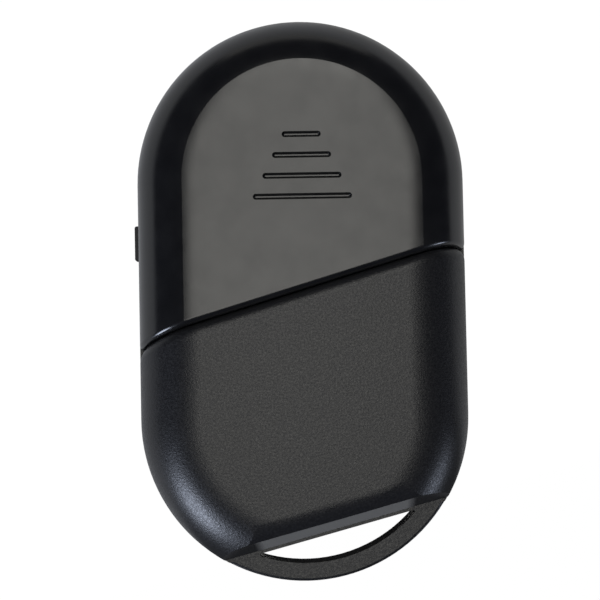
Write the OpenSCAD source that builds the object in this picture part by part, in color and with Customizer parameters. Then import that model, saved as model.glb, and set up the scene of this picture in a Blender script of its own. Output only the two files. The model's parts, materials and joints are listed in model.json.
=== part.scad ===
// Pocket remote for a phone camera, lying on its buttons with its back up.
// +Z comes out of the back, +Y runs to the round top end and the lanyard loop is at -Y.
// The origin is on the front face, below the middle. Lengths are in millimetres.

/* [Body] */
// Width
body_w = 35; // [34:0.5:38]
// Length of the straight sides between the two round ends
straight_l = 25; // [22:0.5:30]
// Wall of the moulded shells
wall = 1.2; // [1.1:0.05:1.3]
// Width of the rounded rim round the back face
rim_run = 5; // [4.6:0.1:5.4]
// Angle at which the rim breaks away from the flat back
rim_crease = 12; // [8:1:16]
// Radius of the edge round the front
front_edge_r = 1.8; // [1:0.1:2]
// Height of the fine seam between the front shell and what sits on it
seam_gap = 0.1; // [0.05:0.01:0.15]
// Depth of that seam where the shells touch
seam_d = 0.3; // [0.2:0.05:0.5]

/* [Cut between cover and rear shell] */
// Distance of the cut's middle from the coin cell
split_back = 1.5; // [1.3:0.02:1.7]
// Turn of the cut seen from the back
split_turn = 16.4; // [12:0.1:18]
// Lean of the cut, so that the cover's edge runs in under the rear shell's
split_lean = 10; // [6:1:14]
// Running gap between the two edges
slide_gap = 0.1; // [0.08:0.01:0.15]

/* [Grip grooves] */
// Number of grooves
grip_count = 4; // [2:1:5]
// Width of a groove
grip_w = 0.62; // [0.5:0.02:0.8]
// Depth of a groove
grip_d = 0.35; // [0.2:0.05:0.5]
// Distance between grooves
grip_pitch = 2.16; // [1.6:0.02:2.4]
// Length of the shortest groove, at the top
grip_short = 4.06; // [3:0.1:6]
// What each next groove is longer
grip_grow = 2.08; // [1:0.1:2.4]
// Distance of the shortest groove from the middle of the coin cell
grip_up = 4.55; // [3:0.1:6]

/* [Lanyard loop] */
// Distance of the tail wall's foot from the end of the loop, along the middle line
tail_in = 4.67; // [4:0.1:5.5]
// Turn of the tail wall seen from the back
tail_turn = 14.6; // [10:0.1:18]
// Lean of the tail wall
tail_lean = 15; // [8:1:18]
// Radius with which the back rolls off towards the tail wall
tail_round = 3; // [2:0.1:4]
// Angle to which it rolls off before it breaks into the wall
tail_roll = 40; // [30:1:50]
// Radius of that break
tail_edge = 0.25; // [0.1:0.05:0.5]
// Ledge of the front shell beyond the tail wall
tail_ledge = 0.34; // [0.2:0.02:0.5]
// Width of the loop
loop_w = 1.92; // [1.6:0.05:2.4]
// Height at which the loop starts above the front face
loop_z = 0.9; // [0.5:0.1:1.4]
// Radius along the loop's outer edge on the front
loop_round = 0.8; // [0.4:0.1:1]
// Radius along the loop's outer edge on the back
loop_top_round = 0.3; // [0.2:0.05:0.6]
// Radius in the sharp corners of the hole
hole_tip = 0.15; // [0.1:0.05:0.3]

/* [Buttons] */
// Diameter of the shutter button
shutter_d = 13; // [11:0.5:13.5]
// Distance of the shutter button from the light
shutter_low = 10.3; // [10:0.1:11]
// Diameter of the second button
second_d = 9; // [7:0.5:9.5]
// Distance of the second button from the centre of the lower round end
second_up = 5; // [4.5:0.1:5.5]
// How far the button faces lie behind the front face
button_sink = 0.15; // [0.1:0.05:0.3]
// Gap round a button
button_gap = 0.15; // [0.1:0.01:0.2]
// Width of the flange that holds a button in
flange_w = 1; // [0.8:0.1:1.2]
// Thickness of that flange
flange_t = 0.5; // [0.4:0.05:0.6]
// Depth of the dish in a button's face
dish_d = 0.4; // [0.2:0.05:0.6]
// Plain rim round the dish
dish_rim = 0.7; // [0.5:0.1:1]
// Radius on a button's edge
button_edge = 0.3; // [0.2:0.05:0.4]
// How far a button can be pressed
press = 0.3; // [0.2:0.05:0.3]

/* [Front panel] */
// Distance of the panel from the outline
panel_inset = 3.2; // [2.6:0.1:3.6]
// Thickness of the panel
panel_t = 0.5; // [0.4:0.05:0.5]
// How far the panel lies behind the front face
panel_sink = 0.1; // [0.05:0.01:0.15]
// Gap round the panel
panel_gap = 0.08; // [0.05:0.01:0.12]
// Distance of the panel from the tail wall
panel_tail = 2.4; // [1.8:0.1:3]

/* [Power switch] */
// Distance of the knob, when it is off, from the middle of the coin cell
knob_low = 6; // [5.5:0.1:6.5]
// Length of the knob
knob_l = 3.76; // [3:0.1:4.2]
// Height of the knob
knob_h = 1.6; // [1.4:0.1:1.8]
// How far the knob stands out of the side
knob_out = 0.5; // [0.3:0.05:0.7]
// Travel from off to on
knob_travel = 2; // [1.5:0.1:2.2]
// Radius on the knob's ends
knob_round = 0.22; // [0.1:0.02:0.25]
// Gap round the knob in its slot
knob_gap = 0.12; // [0.1:0.01:0.15]

/* [Coin cell] */
// Diameter of the cell
cell_d = 20; // [19.8:0.1:20.2]
// Height of the cell
cell_h = 3.2; // [3:0.1:3.2]
// Distance of the cell from the middle of the top screw
cell_screw = 3.1; // [3:0.1:3.4]
// Gap round the cell
cell_gap = 0.25; // [0.2:0.05:0.3]
// Wall round the cell
well_wall = 0.8; // [0.6:0.05:0.85]
// Room between the cell and the cover
lid_room = 1; // [0.8:0.05:1.2]

/* [Circuit board] */
// Thickness of the board
board_t = 0.8; // [0.6:0.1:1]
// Distance of the board from the outline
board_inset = 2.6; // [2.4:0.1:2.8]
// Room for the parts between the board and the battery deck
parts_room = 0.9; // [0.9:0.05:1]

/* [Screws] */
// Distance of the side screws from the sides
screw_side = 5.7; // [5.5:0.1:5.8]
// Distance of the top screw from the top end
screw_end = 4.4; // [4.2:0.1:4.6]
// How far the left screw lies below the cell, along the length
screw_left = 1.5; // [1:0.1:2]
// Distance of the right screw from the cell, square to a line past the cell
screw_right = 3.26; // [3.1:0.02:3.4]
// Turn of that line
screw_turn = 39; // [36:1:42]
// Thread diameter
screw_d = 1.6; // [1.4:0.1:1.7]
// Head diameter
screw_head_d = 2.9; // [2.6:0.1:3]
// Head height
screw_head_h = 0.9; // [0.7:0.1:1]
// Radius of the bosses
boss_r = 1.8; // [1.6:0.1:1.8]

/* [Hidden] */
// Overrun of every cut past the face that it opens
cut = 1;
// How far a rib or boss runs into the wall that carries it
weld = 0.1;
// Free play between flat faces that move or must not bind
play = 0.05;
// Facets of large and of small round forms, and of the two arcs over the tail wall
fine = 128;
small = 48;
roll_steps = 8;
edge_steps = 4;

// Outline: a straight middle with two half-round ends
end_r = body_w / 2;
end_y = straight_l / 2;
body_l = straight_l + body_w;
// Half the size of a block that stands for all the space on one side of a plane
reach = 1.5 * body_l;

// Levels through the thickness, from the front to the back
flange_z = wall + play;
press_z = flange_z + flange_t + play;
switch_rise = press;
switch_z = press_z + switch_rise;
switch_h = 1.2;
board_z = switch_z + switch_h;
parts_z = board_z + board_t;
deck_z = parts_z + parts_room;
deck_t = 0.6;
cell_z = deck_z + deck_t;
cell_top = cell_z + cell_h;
ceiling = cell_top + lid_room;
body_h = ceiling + wall;

// Rim: one arc that ends upright on the seam and meets the flat back at the crease
rim_r = rim_run / (1 - sin(rim_crease));
rim_drop = rim_r * cos(rim_crease);
rim_x = end_r - rim_r;
front_h = body_h - rim_drop;

// Places along the length
screw_y = end_y + end_r - screw_end;
cell_y = screw_y - cell_screw - cell_d / 2;
split_y = cell_y - cell_d / 2 - split_back;
grip_y = cell_y + grip_up;
tail_out = end_r - tail_in;
tail_y = -end_y - tail_out;
light_low = 4.8;
light_y = screw_y - light_low;
shutter_y = light_y - shutter_low;
second_y = -end_y + second_up;
knob_y = cell_y - knob_low;

// Tail: distances from the centre of the round end to the hole's straight side
chord_d = tail_out * cos(tail_turn) + tail_ledge;
hole_r = end_r - loop_w;
tip_u = sqrt(pow(hole_r - hole_tip, 2) - pow(chord_d + hole_tip, 2));

// Battery compartment
deck_gap = 0.5;
deck_inset = wall + deck_gap;
well_in = cell_d / 2 + cell_gap;
well_out = well_in + well_wall;
well_low = 0.4;
well_top = cell_top - well_low;
well_hole = 5;
pry_notch = 7;
pry_rise = 0.6;
bulkhead_t = 0.9;
bulkhead_back = 2.2;
hold_gap = 0.2;
hold_r = 4;
hold_t = 0.8;

// Rails on the deck and the ribs of the cover that run below them
rail_y = [cell_y - 8.5, cell_y - 1];
rail_in = 3.9;
rail_web_x = end_r - rail_in;
rail_web_t = 0.8;
rail_flange_w = 0.9;
rail_flange_t = 0.55;
rail_rise = 1.8;
rail_top = cell_z + rail_rise;
rail_gap = 0.2;
rib_y = [cell_y - 7, cell_y - 1.5];
rib_t = 0.6;

// Tongues of the cover under the rear shell, and its latch
tongue_u = 8.5;
tongue_w = 4;
tongue_t = 0.7;
tongue_out = 1.5;
tongue_root = 2;
tongue_set = 0.5;
latch_x = -4.5;
latch_w = 4;
latch_in = 1.6;
latch_y = cell_y - cell_d / 2 - latch_in;
latch_t = 0.7;
latch_nub = 0.3;
latch_rib_w = 0.6;
latch_rib_gap = 0.3;
latch_rib_y = latch_y + latch_t - 2 * latch_nub - latch_rib_gap - latch_rib_w;

// Hooks of the rear shell in the front shell
hook_up = 1;
hook_y = -end_y + hook_up;
hook_w = 4;
hook_t = 0.9;
hook_gap = 0.2;
hook_nub = 0.4;
hook_nub_h = 0.6;
hook_z = 2.6;
hook_play = 0.15;

// Posts under the board's tail
post_x = 7;
post_low = 4;
post_y = -end_y - post_low;
post_r = 1.2;

// Push switches on the front of the board
push_w = 4.5;
push_plate = 0.15;
push_lug_w = 2.4;
push_lug_h = 0.8;
plunger_r = 1.15;
plunger_gap = 0.08;
plunger_l = 0.75;
push_floor = 0.3;

// Slide switch on the board's left edge
slide_w = 2.7;
slide_l = 6.7;
slide_h = 1.4;
slide_plate = 0.15;
slide_edge = 0.3;
slide_x = -(end_r - board_inset - slide_edge);
slide_y = knob_y + knob_travel / 2;
slide_z = board_z - slide_h;
lever_w = 1.3;
lever_t = 0.6;
lever_in = 1.4;
lever_slot = 1.7;
lever_gap = 0.1;
lever_drop = 0.65;
lever_level = board_z - lever_drop;
knob_flange = 0.6;
knob_flange_y = 0.8;
knob_flange_z = 0.45;
knob_socket = 0.8;

// Light in the front
light_r = 0.9;
light_flange_r = 1.5;
light_flange_t = 0.4;
light_sink = 0.12;
light_gap = 0.05;
led_size = [1.6, 0.8, 0.55];

// Contacts
strip_t = 0.2;
plus_w = 2.8;
plus_gap = 0.1;
plus_foot = 1.2;
plus_top = 2.4;
minus_w = 2.6;
minus_foot = 2;
minus_rise_y = 3.6;
minus_tip = 1.6;
minus_low = 4.6;
minus_y = cell_y - minus_low;
slot_room = 0.3;

// Coin cell's shells
can_t = 0.25;
can_edge = 0.35;
cap_step = 0.15;
cap_in = 1.2;
cap_r = cell_d / 2 - cap_in;
crimp_w = 0.6;
seal_gap = 0.03;

// Parts on the back of the board, placed from a point above the tail's wall
parts_up = 12.83;
parts_y = tail_y + parts_up;
radio_size = [5, 5, 0.85];
radio_at = [-3.5, -1];
memory_size = [4.9, 3.9, 1.4];
memory_at = [5.5, 1.5];
lead_count = 4;
lead_pitch = 1.27;
lead_w = 0.42;
lead_out = 1;
lead_t = 0.2;
crystal_size = [3.2, 2.5, 0.8];
crystal_at = [-9.5, -0.5];
chip_cap = [1.6, 0.8, 0.8];
chip_res = [1.6, 0.8, 0.5];
caps_at = [[-9.5, -4], [-6.5, -5.2], [-3.5, -5.2], [0.8, -3], [0.8, 0.5], [9.8, -2.5]];
resistors_at = [[2.5, -5], [5.5, -4.2], [9.8, 5], [1, 3.5]];

// Printed antenna along the board's tail
antenna_turns = 6;
antenna_pitch = 2.2;
antenna_h = 2.6;
antenna_w = 0.5;
antenna_t = 0.05;
antenna_edge = 0.7;
board_gap = 0.5;
board_tail = wall + board_gap;

// Screws: where they are, the room round them, and the cross in a head as shares of its diameter
screw_x = end_r - screw_side;
screw_left_y = cell_y - cell_d / 2 - screw_left;
screw_right_y = cell_y - (cell_d / 2 + screw_right - screw_x * cos(screw_turn)) / sin(screw_turn);
screws_at = [[-screw_x, screw_left_y], [screw_x, screw_right_y], [0, screw_y]];
screw_room = 0.2;
cross_l_share = 0.6;
cross_w_share = 0.2;

// Forms that several pieces share

// Turns a half profile (x outward, y up) round both ends and runs it along the straight middle
module pill() {
  for (turn = [0, 180])
    rotate([0, 0, turn]) translate([0, end_y, 0])
      rotate_extrude(angle = 180, $fn = fine) children();
  translate([0, end_y, 0]) rotate([90, 0, 0]) linear_extrude(2 * end_y) {
    children();
    mirror([1, 0, 0]) children();
  }
}

// Half profile of the back, moved in by inset and standing on base
module back_profile(inset, base) {
  intersection() {
    union() {
      translate([0, base]) square([rim_x, body_h]);
      translate([rim_x, front_h]) circle(r = rim_r - inset, $fn = fine);
      if (base < front_h) translate([0, base]) square([end_r - inset, front_h - base]);
    }
    translate([0, base]) square([end_r, body_h - inset - base]);
  }
}

// Half profile of the front, with its rounded edge
module front_profile() {
  difference() {
    square([end_r, front_h]);
    translate([end_r - front_edge_r, front_edge_r]) lower_corner(front_edge_r);
  }
}

// What is cut from a lower outer corner to round it, seen from the centre of its arc
module lower_corner(r) {
  difference() {
    translate([0, -r - cut]) square(r + cut);
    circle(r = r, $fn = small);
  }
}

// A flat plate that follows the outline
module plate(inset, z, t) {
  pill() translate([0, z]) square([end_r - inset, t]);
}

// All space on the cover's side of the cut, moved off by off
module past_split(off) {
  translate([0, split_y, body_h]) rotate([0, 0, split_turn]) rotate([-split_lean, 0, 0])
    translate([-reach, off, -reach]) cube([2 * reach, reach, 2 * reach]);
}

// All space on the rear shell's side of the cut, moved off by off
module before_split(off) {
  translate([0, split_y, body_h]) rotate([0, 0, split_turn]) rotate([-split_lean, 0, 0])
    translate([-reach, -off - reach, -reach]) cube([2 * reach, reach, 2 * reach]);
}

// All space inside the leaning tail wall, moved in by off
module inside_tail(off) {
  translate([0, tail_y, front_h]) rotate([0, 0, tail_turn]) rotate([-tail_lean, 0, 0])
    translate([-reach, off, -reach]) cube([2 * reach, reach, 2 * reach]);
}

// All space inside an upright plane along the tail wall's foot, moved in by off
module inside_foot(off) {
  translate([0, tail_y, 0]) rotate([0, 0, tail_turn])
    translate([-reach, off, -reach]) cube([2 * reach, reach, 2 * reach]);
}

// Block given by its middle in x and y, and its lowest z
module block(at, size, z) {
  translate([at[0] - size[0] / 2, at[1] - size[1] / 2, z]) cube(size);
}

// Shells

// Hole of the loop, a segment of a circle with softened corners, in the tail wall's own turn
module loop_hole() {
  far = reach / (hole_r - hole_tip);
  intersection() {
    circle(r = hole_r, $fn = fine);
    polygon([
      [-tip_u, -chord_d], [tip_u, -chord_d], [tip_u, -chord_d - hole_tip],
      [tip_u * far, -(chord_d + hole_tip) * far], [-tip_u * far, -(chord_d + hole_tip) * far],
      [-tip_u, -chord_d - hole_tip]
    ]);
  }
  for (side = [-1, 1])
    translate([side * tip_u, -chord_d - hole_tip]) circle(r = hole_tip, $fn = small);
}

// Half profile of the loop before its hole is cut
module loop_profile() {
  difference() {
    translate([0, loop_z]) square([end_r, front_h - loop_z]);
    translate([end_r - loop_round, loop_z + loop_round]) lower_corner(loop_round);
    translate([end_r - loop_top_round, front_h - loop_top_round])
      mirror([0, 1]) lower_corner(loop_top_round);
  }
}

module front_shell() {
  color([0.1, 0.1, 0.1])
  difference() {
    union() {
      front_skin();
      front_tail();
      for (at = screws_at)
        translate([at[0], at[1], wall - weld])
          cylinder(r = boss_r, h = board_z - wall + weld, $fn = small);
      for (side = [-1, 1])
        translate([side * post_x, post_y, wall - weld])
          cylinder(r = post_r, h = board_z - wall + weld, $fn = small);
    }
    translate([0, -end_y, -cut]) rotate([0, 0, tail_turn]) linear_extrude(body_h) loop_hole();
    intersection() {
      plate(panel_inset - panel_gap, -cut, cut + panel_sink + panel_t);
      inside_foot(panel_tail - panel_gap);
    }
    button_holes();
    for (at = screws_at)
      translate([at[0], at[1], wall + play]) cylinder(d = screw_d + play, h = board_z, $fn = small);
    knob_slot();
    for (side = [-1, 1]) hook_notch(side);
  }
}

// Open box of the front shell inside the tail wall
module front_skin() {
  difference() {
    intersection() {
      pill() front_profile();
      inside_foot(-tail_ledge);
    }
    intersection() {
      plate(wall, wall, body_h);
      inside_foot(wall);
    }
  }
}

// Solid tail beyond the tail wall, which the hole turns into the loop
module front_tail() {
  difference() {
    translate([0, -end_y, 0]) rotate([0, 0, 180]) rotate_extrude(angle = 180, $fn = fine) loop_profile();
    inside_foot(-tail_ledge + weld);
  }
}

// Holes for the two buttons and the light
module button_holes() {
  front_hole(shutter_y, shutter_d / 2 + button_gap);
  front_hole(second_y, second_d / 2 + button_gap);
  front_hole(light_y, light_r + light_gap);
}

module front_hole(y, r) {
  translate([0, y, -cut]) cylinder(r = r, h = wall + 2 * cut, $fn = fine);
}

// Slot in the side wall, as long as the knob and its travel
module knob_slot() {
  translate([-end_r - cut, knob_y - knob_l / 2 - knob_gap, lever_level - knob_h / 2 - knob_gap])
    cube([wall + 2 * cut, knob_l + knob_travel + 2 * knob_gap, knob_h + 2 * knob_gap]);
}

// Notch in the side wall for the nub of a hook
module hook_notch(side) {
  depth = hook_nub - hook_gap + hook_play;
  w = hook_w + 2 * hook_play;
  h = hook_nub_h + 2 * hook_play;
  x = end_r - wall;
  translate([side > 0 ? x - weld : -x - depth, hook_y - w / 2, hook_z - hook_play])
    cube([depth + weld, w, h]);
}

module front_panel() {
  color([0.04, 0.04, 0.045])
  difference() {
    intersection() {
      plate(panel_inset, panel_sink, panel_t);
      inside_foot(panel_tail);
    }
    button_holes();
  }
}

module rear_shell() {
  color([0.2, 0.2, 0.205])
  difference() {
    union() {
      rear_skin();
      bulkhead();
      deck();
      for (side = [-1, 1]) {
        rail(side);
        hook(side);
      }
      latch_post();
    }
    well_cuts();
    for (at = screws_at)
      translate([at[0], at[1], deck_z - parts_room - cut])
        cylinder(d = screw_d + screw_room, h = parts_room + deck_t + 2 * cut, $fn = small);
  }
}

// Outer wall of the rear shell between the cut and the tail wall
module rear_skin() {
  difference() {
    intersection() {
      pill() back_profile(0, front_h);
      before_split(slide_gap / 2);
      inside_rolled_tail();
    }
    intersection() {
      pill() back_profile(wall, front_h - cut);
      inside_tail(wall);
    }
    rear_seam();
  }
}

// All space inside the tail wall and the back that rolls off towards it, as short facets of two arcs
module inside_rolled_tail() {
  out = tail_round - tail_edge;
  edge_z = rim_drop - tail_round + out * cos(tail_roll);
  edge_mid = [edge_z * tan(tail_lean) + tail_edge / cos(tail_lean), edge_z];
  roll_mid = edge_mid + out * [sin(tail_roll), -cos(tail_roll)];
  roll = arc(roll_mid, tail_round, 0, tail_roll, roll_steps);
  edge = arc(edge_mid, tail_edge, tail_roll, 90 - tail_lean, edge_steps);
  translate([0, tail_y, front_h]) rotate([0, 0, tail_turn]) rotate([90, 0, 90])
    linear_extrude(2 * reach, center = true) polygon(concat(
      [[reach, -reach], [reach, reach], [roll_mid[0], reach], 2 * roll[0] - roll[1]],
      [for (i = [1:roll_steps]) roll[i]],
      [for (i = [1:edge_steps]) edge[i]],
      [[-reach * tan(tail_lean), -reach]]
    ));
}

// Points of an arc round mid, from one tilt away from upright to another
function arc(mid, r, from, to, steps) = [
  for (i = [0:steps])
    let (tilt = from + i * (to - from) / steps)
      mid + r * [-sin(tilt), cos(tilt)]
];

// Fine seam round the foot of the rear shell
module rear_seam() {
  difference() {
    translate([-reach, -reach, front_h - cut]) cube([2 * reach, 2 * reach, cut + seam_gap]);
    intersection() {
      plate(seam_d, front_h - 2 * cut, body_h);
      inside_tail(seam_d);
    }
  }
}

// Wall that closes the battery compartment, behind the cover's tongues
module bulkhead() {
  intersection() {
    pill() back_profile(wall - weld, deck_z);
    translate([0, split_y, body_h]) rotate([0, 0, split_turn]) rotate([-split_lean, 0, 0])
      translate([-reach, -bulkhead_back - bulkhead_t, -reach]) cube([2 * reach, bulkhead_t, 2 * reach]);
  }
}

// Floor of the battery compartment with the cell's well and its feet on the board
module deck() {
  intersection() {
    plate(deck_inset, deck_z, deck_t);
    past_split(-bulkhead_back - bulkhead_t / 2);
  }
  translate([0, cell_y, deck_z]) cylinder(r = well_out, h = well_top - deck_z, $fn = fine);
  for (at = screws_at)
    translate([at[0], at[1], parts_z]) cylinder(r = boss_r, h = parts_room + deck_t / 2, $fn = small);
}

// What is taken out of the deck: the cell's room, the hole below it, a pry notch and a contact slot
module well_cuts() {
  translate([0, cell_y, cell_z]) cylinder(r = well_in, h = body_h, $fn = fine);
  translate([0, cell_y, deck_z - cut]) cylinder(r = well_hole, h = deck_t + 2 * cut, $fn = fine);
  translate([0, cell_y - pry_notch / 2, cell_z + pry_rise]) cube([well_out + cut, pry_notch, body_h]);
  contact_slot();
}

// Slot through the deck and the well's wall for the positive contact
module contact_slot() {
  w = plus_w + 2 * slot_room;
  y = cell_y - cell_d / 2 - plus_gap - plus_foot - slot_room;
  translate([-w / 2, y, deck_z - cut])
    cube([w, plus_foot + plus_gap + 2 * slot_room, well_top - deck_z + 2 * cut]);
}

// Rail beside the well
module rail(side) {
  web = side > 0 ? rail_web_x : -rail_web_x - rail_web_t;
  flange = side > 0 ? rail_web_x : -rail_web_x - rail_web_t - rail_flange_w;
  l = rail_y[1] - rail_y[0];
  translate([web, rail_y[0], cell_z - deck_t / 2]) cube([rail_web_t, l, rail_top - cell_z + deck_t / 2]);
  translate([flange, rail_y[0], rail_top - rail_flange_t])
    cube([rail_web_t + rail_flange_w, l, rail_flange_t]);
}

// Spring post whose nub holds the cover's rib
module latch_post() {
  nub_z = ceiling - hold_t - latch_nub - play;
  translate([latch_x - latch_w / 2, latch_y, cell_z - deck_t / 2])
    cube([latch_w, latch_t, nub_z - cell_z + deck_t / 2]);
  translate([latch_x - latch_w / 2, latch_y + latch_t - latch_nub, nub_z])
    rotate([0, 90, 0]) cylinder(r = latch_nub, h = latch_w, $fn = small);
}

// Hook that holds the rear shell's tail in the front shell, in one piece with the wall
module hook(side) {
  x = end_r - wall - hook_gap;
  root = x + hook_gap + weld;
  foot = front_h + seam_gap;
  top = front_h + wall;
  mirror([side > 0 ? 0 : 1, 0, 0]) translate([0, hook_y + hook_w / 2, 0]) rotate([90, 0, 0])
    linear_extrude(hook_w) polygon([
      [x - hook_t, hook_z], [x + hook_nub, hook_z], [x + hook_nub, hook_z + hook_nub_h],
      [x, hook_z + hook_nub_h], [x, foot], [root, foot], [root, top], [x - hook_t, top]
    ]);
}

module battery_cover() {
  color([0.27, 0.27, 0.26])
  difference() {
    union() {
      cover_skin();
      for (side = [-1, 1]) {
        cover_rib(side);
        cover_tongue(side);
      }
      hold_ring();
      latch_rib();
    }
    for (i = [0:grip_count - 1]) grip_groove(grip_short + i * grip_grow, grip_y - i * grip_pitch);
  }
}

// Outer wall of the cover
module cover_skin() {
  difference() {
    intersection() {
      pill() back_profile(0, front_h + seam_gap);
      past_split(slide_gap / 2);
    }
    pill() back_profile(wall, front_h - cut);
  }
}

// Rib inside the cover that runs below a rail
module cover_rib(side) {
  x = rail_web_x + rail_web_t + rail_gap;
  w = end_r - wall / 2 - x;
  translate([side > 0 ? x : -x - w, rib_y[0], rail_top - rail_flange_t - rail_gap - rib_t])
    cube([w, rib_y[1] - rib_y[0], rib_t]);
}

// Tongue that reaches in under the rear shell's edge
module cover_tongue(side) {
  top = ceiling - slide_gap;
  translate([0, split_y, 0]) rotate([0, 0, split_turn])
    translate([side * tongue_u - tongue_w / 2, 0, top - tongue_t]) {
      translate([0, -tongue_out, 0]) cube([tongue_w, tongue_out + tongue_root, tongue_t]);
      translate([0, tongue_set, 0])
        cube([tongue_w, tongue_root - tongue_set, tongue_t + slide_gap + weld]);
    }
}

// Ring that keeps the cell down
module hold_ring() {
  z = cell_top + hold_gap;
  translate([0, cell_y, z]) difference() {
    cylinder(r = hold_r + hold_t / 2, h = ceiling - z + weld, $fn = small);
    translate([0, 0, -cut]) cylinder(r = hold_r - hold_t / 2, h = body_h, $fn = small);
  }
}

// Rib that rides over the latch's nub
module latch_rib() {
  translate([latch_x - latch_w / 2, latch_rib_y, ceiling - hold_t])
    cube([latch_w, latch_rib_w, hold_t + weld]);
}

// Groove with a round bottom and round ends
module grip_groove(l, y) {
  run = l - grip_w;
  r = (grip_d * grip_d + grip_w * grip_w / 4) / (2 * grip_d);
  translate([0, y, body_h + r - grip_d]) {
    rotate([0, 90, 0]) cylinder(r = r, h = run, center = true, $fn = small);
    for (side = [-1, 1]) translate([side * run / 2, 0, 0]) sphere(r = r, $fn = small);
  }
}

// Controls

// Dished button with a flange behind the front wall
module button(d, y) {
  dish_a = d / 2 - dish_rim;
  dish_r = (dish_a * dish_a + dish_d * dish_d) / (2 * dish_d);
  translate([0, y, 0]) difference() {
    rotate_extrude($fn = fine) difference() {
      union() {
        translate([0, button_sink]) square([d / 2, flange_z + flange_t - button_sink]);
        translate([0, flange_z]) square([d / 2 + flange_w, flange_t]);
      }
      translate([d / 2 - button_edge, button_sink + button_edge]) lower_corner(button_edge);
    }
    translate([0, 0, button_sink + dish_d - dish_r]) sphere(r = dish_r, $fn = fine);
  }
}

module shutter_button() {
  color([0.09, 0.09, 0.095]) button(shutter_d, shutter_y);
}

module second_button() {
  color([0.09, 0.09, 0.095]) button(second_d, second_y);
}

module light_pipe() {
  top = board_z - led_size[2] - play;
  color([0.85, 0.87, 0.9]) translate([0, light_y, 0]) {
    translate([0, 0, light_sink]) cylinder(r = light_r, h = top - light_sink, $fn = small);
    translate([0, 0, wall]) cylinder(r = light_flange_r, h = light_flange_t, $fn = small);
  }
}

module switch_knob() {
  x_out = end_r + knob_out;
  x_in = end_r - wall - knob_gap;
  color([0.07, 0.07, 0.07])
  difference() {
    union() {
      translate([-x_out, knob_y, lever_level - knob_h / 2])
        linear_extrude(knob_h) knob_outline(x_out - x_in);
      block([-x_in + knob_flange / 2, knob_y],
        [knob_flange, knob_l + 2 * knob_flange_y, knob_h + 2 * knob_flange_z],
        lever_level - knob_h / 2 - knob_flange_z);
    }
    block([-x_in + knob_flange, knob_y], [2 * knob_socket, lever_w + 2 * play, lever_t + 2 * play],
      lever_level - lever_t / 2 - play);
  }
}

// The knob seen from the back, with its outer corners rounded
module knob_outline(depth) {
  half = knob_l / 2 - knob_round;
  translate([knob_round, -knob_l / 2]) square([depth, knob_l]);
  translate([0, -half]) square([knob_round + play, 2 * half]);
  for (side = [-1, 1]) translate([knob_round, side * half]) circle(r = knob_round, $fn = small);
}

// Board and what is on it

module circuit_board() {
  color([0.06, 0.25, 0.14])
  difference() {
    intersection() {
      plate(board_inset, board_z, board_t);
      inside_foot(board_tail);
    }
    for (at = screws_at)
      translate([at[0], at[1], board_z - cut])
        cylinder(d = screw_d + screw_room, h = board_t + 2 * cut, $fn = small);
  }
}

// Moulded base of a push switch, with the plunger's pocket
module push_base(y) {
  color([0.12, 0.12, 0.12])
  difference() {
    block([0, y], [push_w - 2 * push_plate, push_w, switch_h - push_plate], switch_z + push_plate);
    translate([0, y, switch_z - cut])
      cylinder(r = plunger_r + plunger_gap, h = cut + switch_h - push_floor, $fn = small);
  }
}

module push_plunger(y) {
  color([0.15, 0.15, 0.15])
  translate([0, y, press_z]) cylinder(r = plunger_r, h = plunger_l, $fn = small);
}

module shutter_switch_base() { push_base(shutter_y); }
module shutter_switch_plunger() { push_plunger(shutter_y); }
module second_switch_base() { push_base(second_y); }
module second_switch_plunger() { push_plunger(second_y); }

// Metal frames over the push switches
module push_switch_frames() {
  color([0.72, 0.72, 0.7])
  for (y = [shutter_y, second_y]) difference() {
    union() {
      block([0, y], [push_w, push_w, push_plate], switch_z);
      for (side = [-1, 1])
        block([side * (push_w - push_plate) / 2, y], [push_plate, push_lug_w, push_lug_h], switch_z);
    }
    translate([0, y, switch_z - cut]) cylinder(r = plunger_r + plunger_gap, h = 2 * cut, $fn = small);
  }
}

module slide_switch_base() {
  color([0.1, 0.1, 0.1])
  difference() {
    block([slide_x + slide_w / 2, slide_y], [slide_w, slide_l, slide_h - slide_plate],
      slide_z + slide_plate);
    translate([slide_x - cut, knob_y - lever_w / 2 - lever_gap, lever_level - lever_t / 2 - lever_gap])
      cube([lever_slot + cut, lever_w + knob_travel + 2 * lever_gap, lever_t + 2 * lever_gap]);
  }
}

module slide_switch_shell() {
  color([0.75, 0.75, 0.73])
  block([slide_x + slide_w / 2, slide_y], [slide_w, slide_l, slide_plate], slide_z);
}

module slide_switch_lever() {
  tip = end_r - wall - knob_gap - knob_flange + knob_socket - 2 * play;
  color([0.2, 0.2, 0.2])
  translate([-tip, knob_y - lever_w / 2, lever_level - lever_t / 2])
    cube([tip + slide_x + lever_in, lever_w, lever_t]);
}

module radio_chip() {
  color([0.08, 0.08, 0.08]) part(radio_at, radio_size);
}

// Block on the back of the board, given by its middle from the point that all of them follow
module part(at, size) {
  translate([0, parts_y, 0]) block(at, size, parts_z);
}

// Package with a row of bent leads along each long side
module memory_chip() {
  color([0.08, 0.08, 0.08]) translate([0, parts_y, 0]) {
    block(memory_at, memory_size, parts_z + lead_t / 2);
    for (side = [-1, 1], i = [0:lead_count - 1])
      translate([memory_at[0] + (i - (lead_count - 1) / 2) * lead_pitch - lead_w / 2,
        memory_at[1], parts_z])
        mirror([0, side > 0 ? 0 : 1, 0]) chip_lead();
  }
}

// One lead, from the package's side down to the board
module chip_lead() {
  y = memory_size[1] / 2;
  up = memory_size[2] / 2;
  translate([0, y - weld, up]) cube([lead_w, lead_out / 2 + weld, lead_t]);
  translate([0, y + lead_out / 2 - lead_t, 0]) cube([lead_w, lead_t, up + lead_t]);
  translate([0, y + lead_out / 2 - lead_t, 0]) cube([lead_w, lead_out / 2 + lead_t, lead_t]);
}

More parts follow.
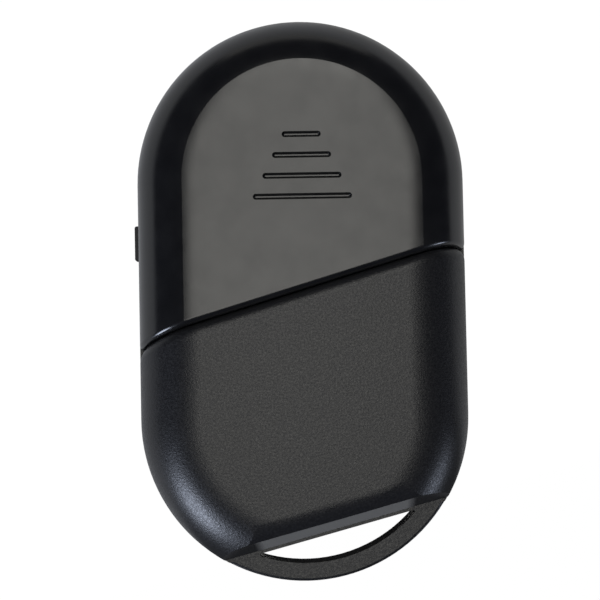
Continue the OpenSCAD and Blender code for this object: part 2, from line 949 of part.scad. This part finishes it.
module crystal() {
  color([0.8, 0.8, 0.78]) part(crystal_at, crystal_size);
}

module status_led() {
  color([0.95, 0.95, 0.85]) block([0, light_y], led_size, board_z - led_size[2]);
}

module capacitors() {
  color([0.6, 0.5, 0.38]) for (at = caps_at) part(at, chip_cap);
}

module resistors() {
  color([0.1, 0.1, 0.11]) for (at = resistors_at) part(at, chip_res);
}

// Meandering track beside the tail edge of the board
module antenna() {
  color([0.8, 0.55, 0.3])
  translate([0, tail_y, parts_z]) rotate([0, 0, tail_turn])
    translate([-antenna_turns * antenna_pitch / 2, board_tail + antenna_edge, 0])
      for (i = [0:antenna_turns]) {
        translate([i * antenna_pitch, 0, 0]) cube([antenna_w, antenna_h, antenna_t]);
        if (i < antenna_turns)
          translate([i * antenna_pitch, i % 2 == 0 ? 0 : antenna_h - antenna_w, 0])
            cube([antenna_pitch + antenna_w, antenna_w, antenna_t]);
      }
}

// Battery and contacts

// Leaf that presses on the cell's cap from below
module negative_contact() {
  y = minus_y;
  top = cell_z - play;
  z = parts_z;
  color([0.8, 0.78, 0.7])
  translate([-minus_w / 2, 0, 0]) rotate([90, 0, 90]) linear_extrude(minus_w) polygon([
    [y, z], [y + minus_foot, z], [y + minus_foot + minus_rise_y, top - strip_t],
    [y + minus_foot + minus_rise_y + minus_tip, top - 2 * strip_t],
    [y + minus_foot + minus_rise_y + minus_tip, top - strip_t],
    [y + minus_foot + minus_rise_y, top],
    [y + minus_foot - strip_t, z + strip_t], [y, z + strip_t]
  ]);
}

// Upright strip against the cell's side
module positive_contact() {
  y = cell_y - cell_d / 2 - plus_gap;
  color([0.8, 0.78, 0.7])
  translate([-plus_w / 2, 0, 0]) {
    translate([0, y - strip_t, parts_z]) cube([plus_w, strip_t, cell_z + plus_top - parts_z]);
    translate([0, y - plus_foot, parts_z]) cube([plus_w, plus_foot, strip_t]);
  }
}

module cell_can() {
  r = cell_d / 2;
  color([0.78, 0.78, 0.76])
  translate([0, cell_y, cell_z]) rotate_extrude($fn = fine) difference() {
    union() {
      translate([0, cap_step]) square([r, cell_h - cap_step - can_edge]);
      translate([0, cap_step]) square([r - can_edge, cell_h - cap_step]);
      translate([r - can_edge, cell_h - can_edge]) circle(r = can_edge, $fn = small);
    }
    translate([0, cap_step + can_t]) square([r - can_t, cell_h - cap_step - 2 * can_t]);
    square([r - can_t - crimp_w, cell_h / 2]);
  }
}

module cell_cap() {
  color([0.74, 0.74, 0.72])
  translate([0, cell_y, cell_z]) {
    cylinder(r = cap_r - crimp_w, h = cell_h / 2, $fn = fine);
    translate([0, 0, cap_step + 2 * can_t])
      cylinder(r = cap_r, h = cell_h - cap_step - 3 * can_t - seal_gap, $fn = fine);
  }
}

module cell_seal() {
  r = cell_d / 2 - can_t;
  foot_r = cap_r - crimp_w + seal_gap;
  seal_z = cap_step + can_t + seal_gap;
  color([0.15, 0.15, 0.16])
  translate([0, cell_y, cell_z]) rotate_extrude($fn = fine) {
    translate([foot_r, cap_step]) square([r - crimp_w - seal_gap - foot_r, can_t + 2 * seal_gap]);
    translate([foot_r, seal_z]) square([r - seal_gap - foot_r, can_t - 2 * seal_gap]);
    translate([cap_r + seal_gap, seal_z])
      square([r - cap_r - 2 * seal_gap, cell_h - cap_step - 2 * can_t - 2 * seal_gap]);
  }
}

// Three screws from the deck into the front shell's bosses
module case_screws() {
  color([0.7, 0.7, 0.7])
  for (at = screws_at) translate([at[0], at[1], 0]) screw();
}

module screw() {
  difference() {
    union() {
      translate([0, 0, wall + 2 * play]) cylinder(d = screw_d, h = cell_z - wall - play, $fn = small);
      translate([0, 0, cell_z]) cylinder(d = screw_head_d, h = screw_head_h, $fn = small);
    }
    for (turn = [0, 90])
      rotate([0, 0, turn])
        block([0, 0], [screw_head_d * cross_l_share, screw_head_d * cross_w_share, screw_head_h],
          cell_z + screw_head_h / 2);
  }
}

front_shell();
front_panel();
rear_shell();
battery_cover();
shutter_button();
second_button();
light_pipe();
circuit_board();
shutter_switch_base();
shutter_switch_plunger();
second_switch_base();
second_switch_plunger();
push_switch_frames();
slide_switch_base();
slide_switch_shell();
slide_switch_lever();
switch_knob();
radio_chip();
memory_chip();
crystal();
status_led();
capacitors();
resistors();
antenna();
negative_contact();
positive_contact();
cell_can();
cell_cap();
cell_seal();
case_screws();
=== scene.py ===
"""Looks of a pocket camera remote that lies on its buttons, seen from above its back.

All lengths are in metres. +Z comes out of the back, +Y runs to the round top end.
"""

import json
import math

import bmesh
import bpy
from mathutils import Matrix, Vector


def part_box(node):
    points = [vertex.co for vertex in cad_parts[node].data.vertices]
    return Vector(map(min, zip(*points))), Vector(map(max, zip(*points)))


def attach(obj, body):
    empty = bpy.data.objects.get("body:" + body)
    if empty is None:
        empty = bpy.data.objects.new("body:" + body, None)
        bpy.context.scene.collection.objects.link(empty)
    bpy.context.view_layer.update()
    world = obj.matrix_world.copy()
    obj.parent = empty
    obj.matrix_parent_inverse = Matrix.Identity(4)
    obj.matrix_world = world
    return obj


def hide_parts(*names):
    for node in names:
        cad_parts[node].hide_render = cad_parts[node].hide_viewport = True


MM = 0.001
UP = Vector((0, 0, 1))

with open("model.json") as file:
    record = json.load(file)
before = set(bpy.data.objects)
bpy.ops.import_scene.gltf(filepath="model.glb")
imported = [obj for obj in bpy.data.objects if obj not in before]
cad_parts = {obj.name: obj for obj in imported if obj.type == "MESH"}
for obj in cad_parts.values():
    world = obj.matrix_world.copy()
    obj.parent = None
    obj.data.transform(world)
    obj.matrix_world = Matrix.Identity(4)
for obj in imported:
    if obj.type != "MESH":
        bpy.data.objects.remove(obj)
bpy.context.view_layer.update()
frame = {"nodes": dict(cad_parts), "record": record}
nodes = frame["nodes"]


# Camera, as the photograph was taken

TARGET = Vector((-0.296, 0.013, 5.0)) * MM
CAMERA_DISTANCE = 170 * MM
CAMERA_AZIMUTH = math.radians(-124.5)
CAMERA_TILT = math.radians(2.87)
CAMERA_ROLL = math.radians(1.146)
HALF_FRAME_PX = 300
FOCAL_PX = 1584
NEAREST_SEEN = 1 * MM
FARTHEST_SEEN = 100


def add_camera():
    """Aims a camera at the target, tilted from straight above and rolled a little."""
    away = Vector((
        math.sin(CAMERA_TILT) * math.cos(CAMERA_AZIMUTH),
        math.sin(CAMERA_TILT) * math.sin(CAMERA_AZIMUTH),
        math.cos(CAMERA_TILT),
    ))
    up = Vector((math.sin(CAMERA_ROLL), math.cos(CAMERA_ROLL), 0))
    right = up.cross(away).normalized()
    data = bpy.data.cameras.new("camera")
    data.angle = 2 * math.atan(HALF_FRAME_PX / FOCAL_PX)
    data.clip_start = NEAREST_SEEN
    data.clip_end = FARTHEST_SEEN
    camera = bpy.data.objects.new("camera", data)
    turn = Matrix((right, away.cross(right), away)).transposed()
    camera.matrix_world = Matrix.Translation(TARGET + away * CAMERA_DISTANCE) @ turn.to_4x4()
    bpy.context.collection.objects.link(camera)
    bpy.context.scene.camera = camera


# Outline and section of the shells, as the frame gives them

HALF_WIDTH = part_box("front_shell")[1][0]
END_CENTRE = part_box("front_shell")[1][1] - HALF_WIDTH
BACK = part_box("rear_shell")[1][2]
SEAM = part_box("front_shell")[1][2]
CREASE = math.radians(12)
RIM_RADIUS = (BACK - SEAM) / math.cos(CREASE)
RIM_AXIS = HALF_WIDTH - RIM_RADIUS
CREASE_OUT = RIM_AXIS + RIM_RADIUS * math.sin(CREASE)

# The slanted cut between the rear shell and the battery cover

CUT_POINT = Vector((0, 1.0 * MM, BACK))
CUT_TURN = math.radians(16.4)
CUT_LEAN = math.radians(10)
CUT_NORMAL = Vector((
    -math.sin(CUT_TURN) * math.cos(CUT_LEAN),
    math.cos(CUT_TURN) * math.cos(CUT_LEAN),
    -math.sin(CUT_LEAN),
))
CUT_HALF_GAP = 0.05 * MM

# The slanted wall at the tail and the hole of the loop along it

TAIL_POINT = Vector((0, -25.33 * MM, 0))
TAIL_TURN = math.radians(14.6)
TAIL_INWARD = Vector((-math.sin(TAIL_TURN), math.cos(TAIL_TURN), 0))
TAIL_ALONG = TAIL_INWARD.cross(UP)
LOOP_CENTRE = Vector((0, -END_CENTRE, 0))
HOLE_HALF = 8.3 * MM


# Nodes that the materials are made of

EVEN = (1, 1, 1)
NOISE_LOW = 0.3
NOISE_HIGH = 0.7
COARSE_DETAIL = 2
FINE_DETAIL = 4


def link(tree, source, socket, target, target_socket):
    tree.links.new(source.outputs[socket], target.inputs[target_socket])


def new_material(name):
    """A material with an empty Principled shader, its node tree and the shader."""
    material = bpy.data.materials.new(name)
    material.use_nodes = True
    tree = material.node_tree
    return material, tree, tree.nodes["Principled BSDF"]


def object_noise(tree, size, detail=COARSE_DETAIL, stretch=EVEN):
    """Noise in the object's own space whose grains are about size wide."""
    place = tree.nodes.new("ShaderNodeTexCoord")
    mapping = tree.nodes.new("ShaderNodeMapping")
    mapping.inputs["Scale"].default_value = stretch
    noise = tree.nodes.new("ShaderNodeTexNoise")
    noise.inputs["Scale"].default_value = 1 / size
    noise.inputs["Detail"].default_value = detail
    link(tree, place, "Object", mapping, "Vector")
    link(tree, mapping, "Vector", noise, "Vector")
    return noise


def spread(tree, source, socket, low, high, start=NOISE_LOW, end=NOISE_HIGH):
    """Maps a value from start..end to low..high."""
    node = tree.nodes.new("ShaderNodeMapRange")
    node.inputs["From Min"].default_value = start
    node.inputs["From Max"].default_value = end
    node.inputs["To Min"].default_value = low
    node.inputs["To Max"].default_value = high
    link(tree, source, socket, node, "Value")
    return node


def along_way(tree, origin, way):
    """How far a place in the object's own space lies along a way from an origin."""
    place = tree.nodes.new("ShaderNodeTexCoord")
    offset = tree.nodes.new("ShaderNodeVectorMath")
    offset.operation = "SUBTRACT"
    offset.inputs[1].default_value = origin
    link(tree, place, "Object", offset, 0)
    dot = tree.nodes.new("ShaderNodeVectorMath")
    dot.operation = "DOT_PRODUCT"
    dot.inputs[1].default_value = way
    link(tree, offset, "Vector", dot, 0)
    return dot


def new_math(tree, operation):
    node = tree.nodes.new("ShaderNodeMath")
    node.operation = operation
    return node


def mix_shaders(tree, share, first, second):
    """Mixes two shaders by the value of an output."""
    mix = tree.nodes.new("ShaderNodeMixShader")
    tree.links.new(share, mix.inputs[0])
    link(tree, first, 0, mix, 1)
    link(tree, second, 0, mix, 2)
    return mix


def mix_color(tree, shader, share, first, second):
    """Sets the base colour between first and second by a share."""
    mix = tree.nodes.new("ShaderNodeMix")
    mix.data_type = "RGBA"
    mix.inputs["A"].default_value = (*first, 1)
    mix.inputs["B"].default_value = (*second, 1)
    link(tree, share, "Result", mix, "Factor")
    link(tree, mix, "Result", shader, "Base Color")


def shaded(color, factor):
    return tuple(min(1.0, part * factor) for part in color)


def vary_color(tree, shader, color, size, amount):
    """Lets the base colour drift by amount over patches of about size."""
    share = spread(tree, object_noise(tree, size), "Fac", 0, 1)
    mix_color(tree, shader, share, shaded(color, 1 - amount), shaded(color, 1 + amount))


def vary_roughness(tree, shader, noise, low, high):
    rough = spread(tree, noise, "Fac", low, high)
    link(tree, rough, "Result", shader, "Roughness")


def bump_layers(tree, shader, layers, stretch=EVEN):
    """Stacks bumps, each given by the size of its grains and by its height."""
    below = None
    for size, height in layers:
        noise = object_noise(tree, size, stretch=stretch)
        bump = tree.nodes.new("ShaderNodeBump")
        bump.inputs["Distance"].default_value = height
        link(tree, noise, "Fac", bump, "Height")
        if below:
            link(tree, below, "Normal", bump, "Normal")
        below = bump
    link(tree, below, "Normal", shader, "Normal")


# Kinds of material

PLASTIC_DRIFT = 0.12
METAL_DRIFT = 0.06
CLEAR_DRIFT = 0.03
METAL_PATCH = 1.5 * MM
METAL_STREAK = 0.2 * MM
METAL_GRAIN = 0.05 * MM
METAL_HEIGHT = 0.002 * MM
METAL_LINES = (1, 12, 1)
METAL_SMOOTHER = 0.06
METAL_ROUGHER = 0.08
CLEAR_PATCH = 1 * MM
CLEAR_SHARE = 0.85
CLEAR_IOR = 1.49
# Width over which the painted reflection on the wall behind the loop fades out at the hole's ends.
PAINTED_REFLECTION_FADE = 0.5 * MM


def plastic(name, color, roughness, layers, rough_play=0.03, ior=1.5, patch=4 * MM):
    """Moulded plastic: a drifting tone, roughness in patches and a fine surface."""
    material, tree, shader = new_material(name)
    shader.inputs["IOR"].default_value = ior
    vary_color(tree, shader, color, patch, PLASTIC_DRIFT)
    noise = object_noise(tree, patch, detail=FINE_DETAIL)
    vary_roughness(tree, shader, noise, roughness - rough_play, roughness + rough_play)
    bump_layers(tree, shader, layers)
    return material


def loop_wall_painted_reflection(name, ends, painted_reflection, roughness, layers):
    """Smooth plastic of the wall behind the loop, with a painted reflection: paler in front of the hole,
    standing in for the pale floor seen through it.
    """
    material, tree, shader = new_material(name)
    shader.inputs["Roughness"].default_value = roughness
    along = along_way(tree, LOOP_CENTRE, TAIL_ALONG)
    off = new_math(tree, "ABSOLUTE")
    link(tree, along, "Value", off, 0)
    share = spread(tree, off, "Value", 1, 0, start=HOLE_HALF - PAINTED_REFLECTION_FADE, end=HOLE_HALF + PAINTED_REFLECTION_FADE)
    # Painted reflection: the colour is paler in front of the hole than at its ends.
    mix_color(tree, shader, share, ends, painted_reflection)
    bump_layers(tree, shader, layers)
    return material


def metal(name, color, roughness, stretch=METAL_LINES):
    """Plated metal with fine lines, or with an even grain if it isn't stretched."""
    material, tree, shader = new_material(name)
    shader.inputs["Metallic"].default_value = 1
    vary_color(tree, shader, color, METAL_PATCH, METAL_DRIFT)
    noise = object_noise(tree, METAL_STREAK, detail=FINE_DETAIL, stretch=stretch)
    vary_roughness(tree, shader, noise, roughness - METAL_SMOOTHER, roughness + METAL_ROUGHER)
    bump_layers(tree, shader, [(METAL_GRAIN, METAL_HEIGHT)], stretch)
    return material


def clear(name, color, roughness, layers):
    """Clear plastic for the light in the front."""
    material, tree, shader = new_material(name)
    shader.inputs["Transmission Weight"].default_value = CLEAR_SHARE
    shader.inputs["IOR"].default_value = CLEAR_IOR
    shader.inputs["Roughness"].default_value = roughness
    vary_color(tree, shader, color, CLEAR_PATCH, CLEAR_DRIFT)
    bump_layers(tree, shader, layers)
    return material


# Surfaces, each a list of bumps with the size of their grains and their height

SPARK = [(0.26 * MM, 0.020 * MM), (0.12 * MM, 0.014 * MM)]
POLISH = [(3.0 * MM, 0.007 * MM), (0.5 * MM, 0.0011 * MM)]
MOULD = [(0.15 * MM, 0.003 * MM)]
SMOOTH_WALL = [(0.3 * MM, 0.002 * MM)]
SOLDER_MASK = [(0.6 * MM, 0.004 * MM)]
CAST_CLEAR = [(0.4 * MM, 0.001 * MM)]


def make_materials():
    """One material for each slot of the record, and one for the wall behind the loop with a painted
    reflection.
    """
    return {
        "shell_plastic": plastic(
            "shell_plastic", (0.0058, 0.0058, 0.0064), roughness=0.375, layers=SPARK,
            rough_play=0.10, ior=1.44, patch=0.19 * MM,
        ),
        # The wall's paler middle is a painted reflection of the floor seen through the hole.
        "shell_wall_painted_reflection": loop_wall_painted_reflection(
            "shell_wall_painted_reflection", ends=(0.010, 0.010, 0.010), painted_reflection=(0.135, 0.132, 0.125),
            roughness=0.28, layers=SMOOTH_WALL,
        ),
        "cover_plastic": plastic(
            "cover_plastic", (0.0042, 0.0042, 0.0044), roughness=0.23, layers=POLISH,
            rough_play=0.035, patch=2.5 * MM,
        ),
        "panel_plastic": plastic("panel_plastic", (0.006, 0.006, 0.007), roughness=0.16, layers=POLISH),
        "button_plastic": plastic("button_plastic", (0.018, 0.018, 0.020), roughness=0.36, layers=MOULD),
        "knob_plastic": plastic("knob_plastic", (0.007, 0.007, 0.007), roughness=0.62, layers=MOULD),
        "clear_plastic": clear("clear_plastic", (0.86, 0.90, 0.95), roughness=0.08, layers=CAST_CLEAR),
        "board_green": plastic("board_green", (0.012, 0.10, 0.035), roughness=0.3, layers=SOLDER_MASK),
        "switch_plastic": plastic("switch_plastic", (0.015, 0.015, 0.015), roughness=0.45, layers=MOULD),
        "plunger_plastic": plastic("plunger_plastic", (0.03, 0.03, 0.03), roughness=0.4, layers=MOULD),
        "tinned_steel": metal("tinned_steel", (0.66, 0.66, 0.63), roughness=0.32),
        "chip_resin": plastic("chip_resin", (0.014, 0.014, 0.014), roughness=0.5, layers=MOULD),
        "led_resin": plastic("led_resin", (0.82, 0.76, 0.45), roughness=0.25, layers=MOULD),
        "chip_ceramic": plastic("chip_ceramic", (0.33, 0.24, 0.15), roughness=0.45, layers=MOULD),
        "resistor_ceramic": plastic("resistor_ceramic", (0.02, 0.02, 0.022), roughness=0.35, layers=MOULD),
        "gold_copper": metal("gold_copper", (0.85, 0.58, 0.28), roughness=0.3),
        "contact_steel": metal("contact_steel", (0.70, 0.68, 0.60), roughness=0.26),
        "cell_steel": metal("cell_steel", (0.68, 0.68, 0.66), roughness=0.24, stretch=EVEN),
        "seal_plastic": plastic("seal_plastic", (0.02, 0.02, 0.02), roughness=0.5, layers=MOULD),
        "screw_steel": metal("screw_steel", (0.60, 0.60, 0.60), roughness=0.3),
    }


def dress_nodes(materials):
    """Gives every node the material of its slot in the record."""
    for row in frame["record"]["subparts"]:
        obj = nodes[row["node"]]
        for slot in obj.material_slots:
            slot.material = materials[row["material_slot"]]


# Skin of the shells: their outer faces, told apart by where they lie and which way they face

BARE, FLAT, RIM, ROLL = range(4)
ON_SKIN = 0.03 * MM
LEVEL = math.cos(math.radians(1.5))
ALONG_RIM = math.cos(math.radians(6))
TAIL_REACH = 4 * MM
ROLL_DEPTH = 1.15 * MM
ABOVE_WALL = 0.3
FACES_TAIL = 0.8


def from_spine(point):
    """Distance from the line between the round ends' centres, and the way out from it."""
    along = max(-END_CENTRE, min(END_CENTRE, point.y))
    out = Vector((point.x, point.y - along, 0))
    return out.length, out.normalized()


def from_tail(face):
    """How far a face lies inward from the tail's wall."""
    return (face.calc_center_median() - TAIL_POINT).dot(TAIL_INWARD)


def rim_way(distance, height, out):
    """The rim's way out at a point given by its distance from the spine and its height."""
    return (out * (distance - RIM_AXIS) + UP * max(0, height - SEAM)).normalized()


def depth_and_way(point):
    """Depth below the outer surface and the way out of the nearest skin."""
    distance, out = from_spine(point)
    if point.z < SEAM:
        return HALF_WIDTH - distance, out
    rim = RIM_RADIUS - math.hypot(distance - RIM_AXIS, point.z - SEAM)
    if distance < RIM_AXIS or BACK - point.z < rim:
        return BACK - point.z, UP
    return rim, rim_way(distance, point.z, out)


def mark_skin(shell):
    """Marks each outer face as flat, rim or tail roll; the rest stays bare."""
    skin = shell.faces.layers.int.new("skin")
    for face in shell.faces:
        depth, way = depth_and_way(face.calc_center_median())
        outer = all(depth_and_way(vert.co)[0] < ON_SKIN for vert in face.verts)
        if outer and way is UP and face.normal.z > LEVEL:
            face[skin] = FLAT
        elif outer and way is not UP and face.normal.dot(way) > ALONG_RIM:
            face[skin] = RIM
        elif from_tail(face) < TAIL_REACH and depth < ROLL_DEPTH and face.normal.z > ABOVE_WALL:
            face[skin] = ROLL
    return skin


def is_tail_wall(face):
    """The smooth wall behind the loop, which faces the tail and leans a little."""
    towards_tail = face.normal.dot(TAIL_INWARD) < -FACES_TAIL
    return towards_tail and abs(from_tail(face)) < TAIL_REACH and face.normal.z > 0


# Moulded edges of the rear shell and of the battery cover

WELD = 0.0005 * MM
ON_PLANE = 0.001 * MM
GRID = 0.6 * MM
ARC_STEPS = 8


class Moulding:
    """How a shell's edge at the cut and its margin inside the crease are rounded.

    The side is 1 towards the round end and -1 towards the tail. The radius and the reach
    belong to the edge at the cut, and the margin sinks up to its tilt at the crease.
    """

    def __init__(self, side, radius, reach, margin, tilt):
        self.side = side
        self.radius = radius
        self.reach = reach
        self.margin = margin
        self.tilt = tilt

    def from_cut(self, point):
        return self.side * (point - CUT_POINT).dot(CUT_NORMAL) - CUT_HALF_GAP

    def cut_angle(self, point):
        """Tilt of the rounded edge towards the cut."""
        past = self.reach - max(0, self.from_cut(point))
        return math.asin(min(1, max(0, past) / self.radius))

    def margin_tilt(self, distance):
        inward = max(0, CREASE_OUT - distance)
        return self.tilt * max(0, 1 - inward / self.margin)

    def drop(self, distance):
        """How far the margin sinks; the rim takes this up again on its way down."""
        if distance < CREASE_OUT:
            return self.margin_tilt(distance) ** 2 * self.margin / (2 * self.tilt)
        rise = math.sqrt(max(0, RIM_RADIUS ** 2 - (distance - RIM_AXIS) ** 2))
        return self.tilt * self.margin / 2 * rise / (BACK - SEAM)

    def moved(self, point, on_skin):
        """Where a point of the sharp-edged shell comes to lie."""
        place = point.copy()
        depth, way = depth_and_way(point)
        sunk = self.radius * (1 - math.cos(self.cut_angle(point)))
        if self.from_cut(point) > -CUT_HALF_GAP and depth < sunk:
            across = way - CUT_NORMAL * way.dot(CUT_NORMAL)
            place -= across * (sunk - depth) / across.length_squared
        if on_skin:
            place.z -= self.drop(from_spine(point)[0])
        return place

    def normal(self, point, kind):
        """The rounded surface's way out at a point of the flat back or the rim."""
        distance, out = from_spine(point)
        if kind == FLAT:
            tilt = self.margin_tilt(distance)
            way = UP * math.cos(tilt) + out * math.sin(tilt)
        else:
            way = rim_way(distance, point.z, out)
        angle = self.cut_angle(point)
        towards = -self.side * (CUT_NORMAL - way * CUT_NORMAL.dot(way)).normalized()
        return way * math.cos(angle) + towards * math.sin(angle)


def welded_copy(node):
    """The node's mesh as one surface, with its open edges kept sharp."""
    shell = bmesh.new()
    shell.from_mesh(nodes[node].data)
    for edge in shell.edges:
        edge.smooth = not edge.is_boundary
    bmesh.ops.remove_doubles(shell, verts=shell.verts, dist=WELD)
    shell.normal_update()
    return shell


def soften_roll(shell, skin):
    """Smooths the edges between the tail's roll and the other skin."""
    for edge in shell.edges:
        kinds = {face[skin] for face in edge.link_faces}
        if ROLL in kinds and BARE not in kinds:
            edge.smooth = True


def slice_skin(shell, skin, kinds, point, normal):
    """Cuts the faces of these kinds along a plane and leaves the others whole."""
    faces = [face for face in shell.faces if face[skin] in kinds]
    edges = {edge for face in faces for edge in face.edges}
    verts = {vert for face in faces for vert in face.verts}
    geometry = faces + list(edges) + list(verts)
    bmesh.ops.bisect_plane(shell, geom=geometry, dist=ON_PLANE, plane_co=point, plane_no=normal)


def slice_along_cut(shell, skin, moulding):
    """Cuts strips beside the cut, one for each step of the rounded edge."""
    full = math.asin(min(1, moulding.reach / moulding.radius))
    for step in range(1, ARC_STEPS + 1):
        inward = moulding.reach - moulding.radius * math.sin(full * (1 - step / ARC_STEPS))
        plane = CUT_POINT + CUT_NORMAL * moulding.side * (CUT_HALF_GAP + inward)
        slice_skin(shell, skin, (FLAT, RIM), plane, CUT_NORMAL)


def slice_into_grid(shell, skin):
    """Cuts a grid into the flat back and the tail's roll, so that they can bend."""
    for axis in range(2):
        normal = Vector((axis == 0, axis == 1, 0))
        low = min(vert.co[axis] for vert in shell.verts)
        high = max(vert.co[axis] for vert in shell.verts)
        for step in range(math.ceil(low / GRID), math.floor(high / GRID) + 1):
            slice_skin(shell, skin, (FLAT, ROLL), normal * step * GRID, normal)


def add_moulded(node, body, moulding, wall_material=None):
    """A shell with rounded edges in the place of the node's sharp ones."""
    shell = welded_copy(node)
    skin = mark_skin(shell)
    soften_roll(shell, skin)
    slice_along_cut(shell, skin, moulding)
    slice_into_grid(shell, skin)
    bmesh.ops.dissolve_degenerate(shell, dist=WELD, edges=shell.edges)
    normals = [
        moulding.normal(loop.vert.co, face[skin]) if face[skin] in (FLAT, RIM) else Vector()
        for face in shell.faces for loop in face.loops
    ]
    for vert in shell.verts:
        vert.co = moulding.moved(vert.co, any(face[skin] for face in vert.link_faces))
    if wall_material:
        for face in shell.faces:
            face.material_index = int(face[skin] == BARE and is_tail_wall(face))
    mesh = bpy.data.meshes.new(node + "_moulded")
    shell.to_mesh(mesh)
    shell.free()
    mesh.shade_smooth()
    mesh.normals_split_custom_set(normals)
    mesh.materials.append(nodes[node].material_slots[0].material)
    if wall_material:
        mesh.materials.append(wall_material)
    piece = bpy.data.objects.new(node + "_moulded", mesh)
    bpy.context.collection.objects.link(piece)
    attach(piece, body)
    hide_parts(node)


def add_moulded_shells(materials):
    rear = Moulding(side=-1, radius=1.45 * MM, reach=1.2 * MM, margin=1.7 * MM, tilt=math.radians(11.7))
    cover = Moulding(side=1, radius=0.58 * MM, reach=0.55 * MM, margin=1.6 * MM, tilt=math.radians(5.6))
    add_moulded("rear_shell", "housing", rear, materials["shell_wall_painted_reflection"])
    add_moulded("battery_cover", "cover", cover)


# Floor

FLOOR_HALF = 3.0
FLOOR_Z = -0.02 * MM
# Painted shade: the floor's tone is darker off the tail than elsewhere.
FLOOR_PAINTED_SHADE = 0.06
FLOOR_PALE = 0.45
FLOOR_PAINTED_SHADE_TO = -1 * MM
FLOOR_PALE_FROM = 2 * MM
FLOOR_WHITE = 1.06
FLOOR_WHITE_SHARE = 0.94
FLOOR_OPEN = 1 * MM


def floor_shade(tree, shader):
    """Sets a dull floor with painted shade off the tail, so that the loop's inner side stays dark in its
    reflection.
    """
    inward = along_way(tree, TAIL_POINT, TAIL_INWARD)
    tone = spread(tree, inward, "Value", FLOOR_PAINTED_SHADE, FLOOR_PALE, FLOOR_PAINTED_SHADE_TO, FLOOR_PALE_FROM)
    link(tree, tone, "Result", shader, "Base Color")
    shader.inputs["Roughness"].default_value = 1
    shader.inputs["Specular IOR Level"].default_value = 0


def floor_opening(tree, path):
    """1 from below and for rays that start within a short way of the floor, otherwise 0."""
    geometry = tree.nodes.new("ShaderNodeNewGeometry")
    near = new_math(tree, "LESS_THAN")
    near.inputs[1].default_value = FLOOR_OPEN
    link(tree, path, "Ray Length", near, 0)
    opening = new_math(tree, "MAXIMUM")
    link(tree, geometry, "Backfacing", opening, 0)
    link(tree, near, "Value", opening, 1)
    return opening


def floor_material():
    """White to the camera but for a faint shadow, and open to the light from below."""
    material, tree, shader = new_material("floor")
    floor_shade(tree, shader)
    white = tree.nodes.new("ShaderNodeEmission")
    white.inputs["Strength"].default_value = FLOOR_WHITE
    path = tree.nodes.new("ShaderNodeLightPath")
    share = new_math(tree, "MULTIPLY")
    share.inputs[1].default_value = FLOOR_WHITE_SHARE
    link(tree, path, "Is Camera Ray", share, 0)
    lifted = mix_shaders(tree, share.outputs[0], shader, white)
    see_through = tree.nodes.new("ShaderNodeBsdfTransparent")
    opening = floor_opening(tree, path)
    opened = mix_shaders(tree, opening.outputs[0], lifted, see_through)
    link(tree, opened, 0, tree.nodes["Material Output"], "Surface")
    return material


def add_floor():
    mesh = bpy.data.meshes.new("floor")
    corners = [(-1, -1), (1, -1), (1, 1), (-1, 1)]
    mesh.from_pydata([(x * FLOOR_HALF, y * FLOOR_HALF, FLOOR_Z) for x, y in corners], [], [(0, 1, 2, 3)])
    floor = bpy.data.objects.new("floor", mesh)
    bpy.context.collection.objects.link(floor)
    mesh.materials.append(floor_material())


# World and lamps

WORLD_FILL = (0.62, 0.63, 0.66)
WORLD_DARK = (0.014, 0.018, 0.037)
WORLD_WHITE = (1, 1, 1)
WARM = (1.0, 0.985, 0.93)
COOL = (0.74, 0.82, 1.0)


def background(tree, color):
    node = tree.nodes.new("ShaderNodeBackground")
    node.inputs["Color"].default_value = (*color, 1)
    return node


def add_world():
    """White behind the object, an even fill on it and a dark room in its gloss."""
    world = bpy.data.worlds.new("world")
    bpy.context.scene.world = world
    world.use_nodes = True
    tree = world.node_tree
    path = tree.nodes.new("ShaderNodeLightPath")
    fill = tree.nodes["Background"]
    fill.inputs["Color"].default_value = (*WORLD_FILL, 1)
    dark = background(tree, WORLD_DARK)
    white = background(tree, WORLD_WHITE)
    gloss = mix_shaders(tree, path.outputs["Is Glossy Ray"], fill, dark)
    seen = mix_shaders(tree, path.outputs["Is Camera Ray"], gloss, white)
    link(tree, seen, 0, tree.nodes["World Output"], "Surface")


def add_softbox(name, place, width, height, radiance, color):
    """Rectangular lamp aimed at the object, given by the radiance of its face."""
    data = bpy.data.lights.new(name, "AREA")
    data.shape = "RECTANGLE"
    data.size = width
    data.size_y = height
    data.energy = radiance * math.pi * width * height
    data.color = color
    lamp = bpy.data.objects.new(name, data)
    lamp.location = place
    lamp.rotation_euler = (TARGET - Vector(place)).to_track_quat("-Z", "Y").to_euler()
    bpy.context.collection.objects.link(lamp)


def add_lights():
    """Warm lamps above the back and beyond the round end, cool ones low at the sides, one from below."""
    add_softbox("overhead", (0.005, 0.051, 0.485), width=0.194, height=0.40, radiance=3.0, color=WARM)
    add_softbox("overhead_strip", (0.005, 0.185, 0.42), width=0.18, height=0.08, radiance=1.2, color=WARM)
    add_softbox("overhead_tail", (0.005, -0.075, 0.44), width=0.18, height=0.12, radiance=0.5, color=WARM)
    add_softbox("left_front", (-0.420, -0.385, 0.185), width=0.20, height=0.26, radiance=21.0, color=COOL)
    add_softbox("right_front", (0.515, -0.297, 0.084), width=0.15, height=0.12, radiance=12.0, color=COOL)
    add_softbox("far_wall", (0, 0.60, 0.06), width=0.60, height=0.12, radiance=0.5, color=WARM)
    add_softbox("below", (0.06, -0.10, -0.45), width=0.30, height=0.30, radiance=2.5, color=WARM)


add_camera()
materials = make_materials()
dress_nodes(materials)
add_moulded_shells(materials)
add_floor()
add_world()
add_lights()
bpy.context.scene.view_settings.view_transform = "Standard"
